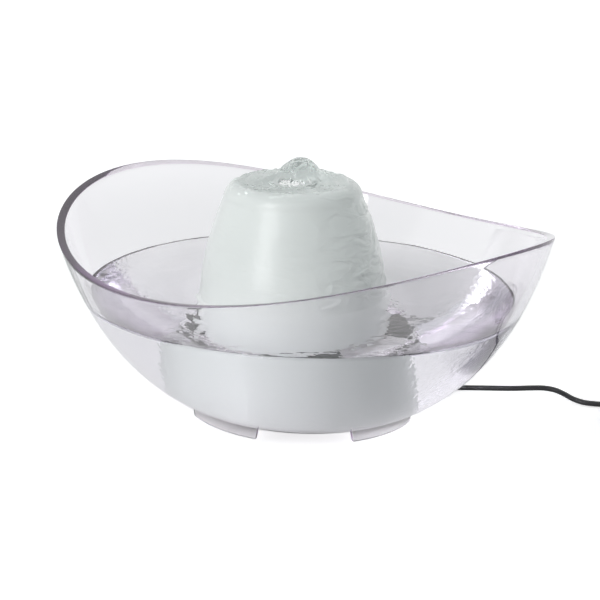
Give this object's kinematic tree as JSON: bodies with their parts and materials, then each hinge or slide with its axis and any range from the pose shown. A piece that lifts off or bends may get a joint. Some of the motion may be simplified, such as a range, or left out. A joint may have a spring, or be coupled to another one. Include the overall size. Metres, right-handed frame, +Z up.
{
  "type": "pet water fountain",
  "caption": "Clear oval drinking bowl with raised ends and a lift-off white dome over a submersible pump, filter and riser, on a low-voltage cord.",
  "frame": {"origin": "on the floor under the middle of the bowl", "axes": "+X along the bowl's length towards one raised end, +Y towards the cord's side, +Z up"},
  "size_m": [0.455, 0.3661, 0.19],
  "materials": {
    "clear_bowl": "clear polished plastic with a faint violet tint",
    "white_plastic": "white moulded plastic",
    "dome_white": "smooth white, wet gloss",
    "clear_tube": "clear flexible tube",
    "carbon": "granular activated carbon",
    "foam": "open-cell sponge",
    "pump_plastic": "black moulded plastic",
    "steel_laminations": "stacked steel sheets",
    "copper_winding": "enamelled copper wire",
    "potting_resin": "cast black resin",
    "magnet": "sintered ferrite",
    "impeller_plastic": "natural moulded plastic",
    "steel_shaft": "ground steel",
    "black_rubber": "soft black rubber",
    "dial_plastic": "grey moulded plastic",
    "cord_jacket": "smooth black cord jacket",
    "adapter_plastic": "fine-textured black plastic",
    "prong_brass": "nickel-tinted brass",
    "water": "clear water that wells up over the outlet"
  },
  "bodies": {
    "bowl_and_pump": {"bowl": "clear_bowl", "base_tray": "white_plastic", "riser_tube": "clear_tube", "pump_chamber": "white_plastic", "foam_ring": "foam", "pump_housing": "pump_plastic", "pump_back_cover": "pump_plastic", "stator_core": "steel_laminations", "stator_coil": "copper_winding", "potting": "potting_resin", "impeller_shaft": "steel_shaft", "rear_bush": "black_rubber", "front_bush": "black_rubber", "volute_cover": "pump_plastic", "o_ring": "black_rubber", "suction_cups": "black_rubber", "pump_strain_relief": "cord_jacket", "inner_cord": "cord_jacket", "cord_gland": "black_rubber", "gland_seal": "black_rubber", "gland_elbow": "black_rubber", "cord_strain_relief": "cord_jacket", "cord": "cord_jacket", "cord_coil": "cord_jacket", "cord_tail": "cord_jacket", "adapter_strain_relief": "cord_jacket", "adapter_shell": "adapter_plastic", "adapter_front": "adapter_plastic", "adapter_prongs": "prong_brass"},
    "dome_cover": {"dome": "dome_white", "outlet_nozzle": "white_plastic", "water_mound": "water"},
    "lid": {"chamber_lid": "white_plastic"},
    "filter": {"filter_case": "white_plastic", "filter_carbon": "carbon", "filter_cover": "white_plastic"},
    "rotor": {"rotor_magnet": "magnet", "impeller": "impeller_plastic"},
    "intake": {"intake_cover": "pump_plastic"},
    "dial": {"flow_dial": "dial_plastic"}
  },
  "joints": [
    {"name": "dome_lift", "type": "slide", "parent": "bowl_and_pump", "child": "dome_cover", "axis": [0, 0, 1], "range_m": [0, 0.18]},
    {"name": "lid_lift", "type": "slide", "parent": "bowl_and_pump", "child": "lid", "axis": [0, 0, 1], "range_m": [0, 0.015]},
    {"name": "filter_lift", "type": "slide", "parent": "lid", "child": "filter", "axis": [0, 0, 1], "range_m": [0, 0.03]},
    {"name": "impeller_spin", "type": "hinge", "parent": "bowl_and_pump", "child": "rotor", "pos_m": [0.002, -0.009, 0.048], "axis": [1, 0, 0], "continuous": true},
    {"name": "intake_pull", "type": "slide", "parent": "bowl_and_pump", "child": "intake", "axis": [1, 0, 0], "range_m": [0, 0.01]},
    {"name": "flow_turn", "type": "hinge", "parent": "intake", "child": "dial", "pos_m": [0.002, -0.009, 0.048], "axis": [1, 0, 0], "range_deg": [0, 60]}
  ]
}
